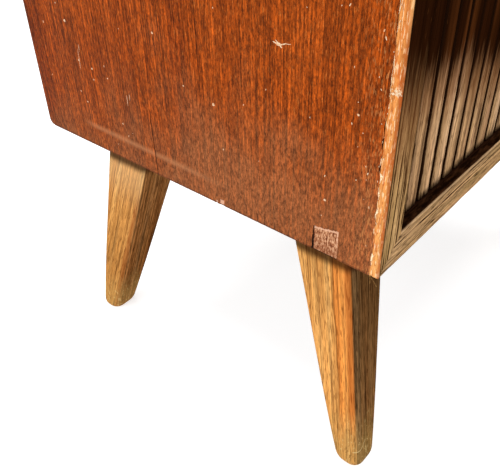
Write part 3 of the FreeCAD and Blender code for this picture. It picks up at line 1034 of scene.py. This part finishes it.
def make_sheet(name, rows, front_at, columns, outer, inner, sign, material, missing, holes, marked):
    """A thin closed sheet on a side of the cabinet, missing in places and pierced by holes."""
    form = bmesh.new()

    def mark(point, kind):
        return marks(point.y, point.z)[kind] if marked else 0.0

    fill_sheet(form, rows, columns, sign * (HALF_WIDTH + inner), front_at,
               lambda y, z: missing(y, z) or in_holes(y, z, holes))
    for vert in form.verts:
        if vert.is_boundary:
            for hole in holes:
                onto_hole(vert, hole)
        round_rear_corner(vert)
    raised = bmesh.ops.extrude_face_region(form, geom=form.faces[:])
    for item in raised["geom"]:
        if isinstance(item, bmesh.types.BMVert):
            item.co.x = sign * (HALF_WIDTH + outer + mark(item.co, 0))
    mesh = bpy.data.meshes.new(name)
    form.to_mesh(mesh)
    form.free()
    piece = bpy.data.objects.new(name, mesh)
    bpy.context.scene.collection.objects.link(piece)
    tidy_normals(mesh)
    mesh.materials.append(material)
    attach(piece, "cabinet")
    places = [v.co for v in mesh.vertices]
    store_vector(piece, "grain", [(v.y, v.x, v.z) for v in places])
    store_number(piece, "wear", [mark(v, 1) for v in places])
    store_number(piece, "rub", [mark(v, 2) for v in places])


def whole(*point):
    """Nothing is missing from an undamaged sheet."""
    return False


def left_edge(z):
    """The front edge of the left side's veneer, chips and all."""
    return edge_line(z) + chip_depth(z, -1)


def make_side_veneers():
    """The veneer of both sides. The left one is chipped, cracked and partly missing."""
    material = side_veneer()
    top = WORKTOP - 1.5 * MM
    fine_top = UNDERSIDE + 31 * MM
    base = FRONT + VENEER_EDGE
    rows = spaced(UNDERSIDE, top, 6 * MM, [(UNDERSIDE, fine_top, 0.8 * MM), (fine_top, 530 * MM, 2 * MM),
                                           (CEILING - 38 * MM, CEILING, 2 * MM)])
    runs = [(-174, -145, 0.8), (-157, -123, 2), (-110, -60, 1), (-52, -34, 1), (-20, -16, 1),
            (8, 12, 1), (33, 40, 0.4), (143, 177, 2)]
    runs = [(base, base + 6 * MM, 1 * MM)] + [(a * MM, b * MM, step * MM) for a, b, step in runs]
    make_sheet("left_side_veneer", rows, left_edge, spaced(base, REAR, 5 * MM, runs), VENEER, 0.1 * MM,
               -1, material, torn, bearer_holes(), True)
    columns = spaced(base, REAR - 1 * MM, 20 * MM, [(base, base + 3 * MM, 0.5 * MM),
                                                    (-176 * MM, -30 * MM, 4 * MM)])
    make_sheet("left_veneer_ground", rows[1:], lambda z: left_edge(z) - glue_depth(z, -1), columns,
               0.16 * MM, 0.0, -1, veneer_ground(), whole, bearer_holes(), False)
    rows = spaced(UNDERSIDE, top, 3 * MM, [])
    columns = spaced(base, REAR, 8 * MM, [(base, base + 6 * MM, 1 * MM)])
    make_sheet("right_side_veneer", rows, lambda z: edge_line(z) + chip_depth(z, 1), columns,
               VENEER, 0.0, 1, material, whole, [], False)


def round_rear_corner(vert):
    """Pull a point back inside the rounded bottom rear corner of the side."""
    radius = 7 * MM
    offset = Vector((vert.co.y - (REAR - radius), (UNDERSIDE + radius) - vert.co.z))
    if offset.x > 0 and offset.y > 0 and offset.length > radius:
        kept = offset.normalized() * radius
        vert.co.y = REAR - radius + kept.x
        vert.co.z = UNDERSIDE + radius - kept.y


def add_drop(verts, faces, y, z, radius, stretch, turn, face):
    """One thin uneven drop of paint on the left side, drawn out by stretch and turned in degrees."""
    sides = 9
    points = []
    for x in (face + 0.03 * MM, face - 0.09 * MM):
        for i in range(sides):
            angle = 2 * math.pi * i / sides
            across, up = math.cos(angle), math.sin(angle)
            reach = radius * (1 + 0.5 * noise.noise(Vector((across, up, y / MM + z / MM))))
            flat = Matrix.Rotation(math.radians(turn), 2) @ Vector((reach * across * stretch, reach * up))
            points.append(Vector((x, y + flat.x, z + flat.y)))
    add_tube(verts, faces, points, sides)


def make_drops():
    """Old drops of pale paint, a starred splash, a scratch, and the knock across the edging."""
    verts, faces = [], []
    face = -HALF_WIDTH - VENEER
    for y, z, radius in ((145, 406, 1.3), (22, 421, 1.0), (134, 370, 0.8), (115, 366, 0.9), (115, 355, 0.7),
                         (93, 362, 0.7), (132, 327, 0.8), (80, 319, 0.7), (-44, 376, 1.2), (-180, 409, 0.9),
                         (-157, 330, 1.0), (-10, 383, 0.7)):
        add_drop(verts, faces, y * MM, z * MM, radius * MM, 1.1, 25, face)
    splash = ((-111.6, 441.9, 1.3, 1.8, 5), (-108.6, 442.4, 0.45, 6, 12), (-110.2, 443.2, 0.4, 6, 38),
              (-115.4, 443.0, 0.45, 7, -20), (-119.6, 444.0, 0.3, 7, -10), (-113.2, 441.0, 0.65, 2.2, 50))
    for layer, (y, z, radius, stretch, turn) in enumerate(splash):
        add_drop(verts, faces, y * MM, z * MM, radius * MM, stretch, turn, face + 0.025 * MM * (1 - layer))
    for y, z, stretch in ((133, 371, 40), (130, 383, 14), (68, 347, 22), (64, 351, 12)):
        add_drop(verts, faces, y * MM, z * MM, 0.25 * MM, stretch, 92, face)
    chance = random.Random(7)
    for layer in range(12):
        y = -206.3 + chance.uniform(-2.8, 2.8)
        z = 433 + chance.uniform(-2.6, 2.6)
        add_drop(verts, faces, y * MM, z * MM, chance.uniform(0.4, 0.9) * MM, chance.uniform(1, 2.4),
                 chance.uniform(-30, 60), -HALF_WIDTH + (0.2 - 0.03 * layer) * MM)
    for _ in range(100):
        y = chance.uniform(-200, 205)
        z = chance.uniform(284, 720)
        if chance.random() < 0.5:
            y = -203 + abs(chance.gauss(0, 16))
        if torn(y * MM, z * MM) or in_holes(y * MM, z * MM, bearer_holes()):
            continue
        add_drop(verts, faces, y * MM, z * MM, chance.uniform(0.2, 0.42) * MM, chance.uniform(1.2, 3.2),
                 chance.uniform(60, 120), face)
    paint = speckled("pale_paint", 0.6, 900, (0.35, on_side(232, 176, 128)),
                     (0.65, on_side(255, 230, 196)), 0.3, 0.1 * MM)
    new_piece("paint_drops", verts, faces, "cabinet", paint)


def make_fibres():
    """Two torn fibres hanging from the front corner of the left side."""
    material = speckled("torn_fibre", 0.8, 700, (0.35, on_side(110, 70, 32)),
                        (0.65, on_side(206, 160, 96)), 0.3, 0.1 * MM)
    strands = (((-272.8, -201, 278.6), (-273.2, -203.5, 275.4),
                (-273.0, -206.5, 272.6), (-272.4, -208.6, 268.6)),
               ((-272.6, -200, 278.6), (-272.2, -201.5, 274.8),
                (-271.8, -202.2, 270.8), (-271.6, -202.0, 267.6)))
    verts, faces = [], []
    for strand in strands:
        points = []
        for step, point in enumerate(strand):
            radius = (0.34 - 0.07 * step) * MM
            for corner in range(5):
                angle = 2 * math.pi * corner / 5
                out = Vector((math.cos(angle), math.sin(angle), 0)) * radius
                points.append(Vector(point) * MM + out)
        add_tube(verts, faces, points, 5)
    new_piece("torn_fibres", verts, faces, "cabinet", material)


def dress_cad_nodes():
    """Materials for the CAD nodes that stay as they are."""
    brass = metal("aged_brass", tone(196, 158, 92), 0.4)
    steel = metal("brushed_steel", tone(176, 176, 172), 0.35)
    pale = pale_wood("beech", "x", tone(176, 128, 78), tone(206, 160, 106), tone(226, 186, 134))
    level = plain_veneer("level_veneer", "x")
    deep = plain_veneer("crosswise_veneer", "y")
    dark = dark_board("stained_board", "z")
    # the bottom board's top is the ledge: near-black, partly dirt and partly painted shade
    ledge = dark_board("dirty_shaded_bottom", "x")
    ply = pale_wood("back_plywood", "z", tone(150, 112, 70), tone(180, 140, 94), tone(200, 164, 118))
    plastic = speckled("brown_plastic", 0.45, 900, (0.3, tone(70, 44, 30)), (0.7, tone(84, 54, 38)),
                       0.1, 0.1 * MM)
    felt = speckled("green_felt", 0.95, 2400, (0.3, tone(34, 52, 34)), (0.7, tone(70, 92, 62)),
                    0.8, 0.3 * MM, 3.0, 0.7)
    dressed = (
        # door_board is near-black as painted shade at the back of the gaps between the slats
        (dark, "left_side right_side door_board"), (ledge, "bottom_board"), (ply, "back_panel"),
        (level, "worktop lid_board lid_front_lipping lid_rear_lipping"),
        (deep, "lid_left_lipping lid_right_lipping"),
        (pale, "front_bearer rear_bearer front_bearer_guide rear_bearer_guide spool_tray spool_pegs"),
        (brass, "hinge_fixed_leaf hinge_lid_leaf hinge_rod door_knob door_pivots"),
        (steel, "left_head_bracket right_head_bracket left_head_pin right_head_pin door_strike"),
        (plastic, "door_catch"), (felt, "lid_pads"),
    )
    for material, names in dressed:
        for name in names.split():
            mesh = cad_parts[name].data
            mesh.materials.clear()
            mesh.materials.append(material)


# ---- stage, light and camera ----

FLOOR_GLOW = 0.68
STUDIO_LIGHT = 0.55


def make_stage():
    bpy.ops.mesh.primitive_plane_add(size=14)
    floor = bpy.context.object
    floor.name = "floor"
    look = Look("pale_floor", 0.9)
    look.feed(look.shader, {"Emission Color": (1, 1, 1), "Emission Strength": FLOOR_GLOW})
    floor.data.materials.append(look.finish((0.55, 0.55, 0.55)))


def area_light(name, place, target, size, power):
    data = bpy.data.lights.new(name, "AREA")
    data.shape = "SQUARE"
    data.size = size
    data.energy = power
    lamp = bpy.data.objects.new(name, data)
    bpy.context.scene.collection.objects.link(lamp)
    lamp.location = place
    direction = Vector(target) - Vector(place)
    lamp.rotation_euler = direction.to_track_quat("-Z", "Y").to_euler()


def make_light():
    area_light("key", (-2.7, 0.3, 1.5), (-0.2, 0, 0.35), 1.6, 42)
    area_light("overhead", (0.0, 0.2, 3.4), (0, 0, 0), 3.0, 135)
    area_light("front_fill", (0.6, -3.2, 1.2), (0, 0, 0.4), 2.0, 5)
    world = bpy.data.worlds.new("studio")
    world.use_nodes = True
    background = world.node_tree.nodes["Background"]
    background.inputs["Color"].default_value = (1, 1, 1, 1)
    background.inputs["Strength"].default_value = STUDIO_LIGHT
    bpy.context.scene.world = world
    bpy.context.scene.view_settings.view_transform = "Standard"


def make_camera():
    place = Vector((-0.6211, -0.3845, 0.6103))
    azimuth = math.radians(-48.68)
    elevation = math.radians(37.49)
    roll = math.radians(-1.57)
    data = bpy.data.cameras.new("camera")
    data.sensor_width = 36
    data.lens = 46.6
    data.clip_start = 0.01
    camera = bpy.data.objects.new("camera", data)
    bpy.context.scene.collection.objects.link(camera)
    turn = Matrix.Rotation(azimuth, 4, "Z") @ Matrix.Rotation(math.pi / 2 - elevation, 4, "X")
    camera.matrix_world = Matrix.Translation(place) @ turn @ Matrix.Rotation(roll, 4, "Z")
    bpy.context.scene.camera = camera


make_lippings()
make_slats()
make_legs()
make_side_veneers()
make_drops()
make_fibres()
dress_cad_nodes()
make_stage()
make_light()
make_camera()
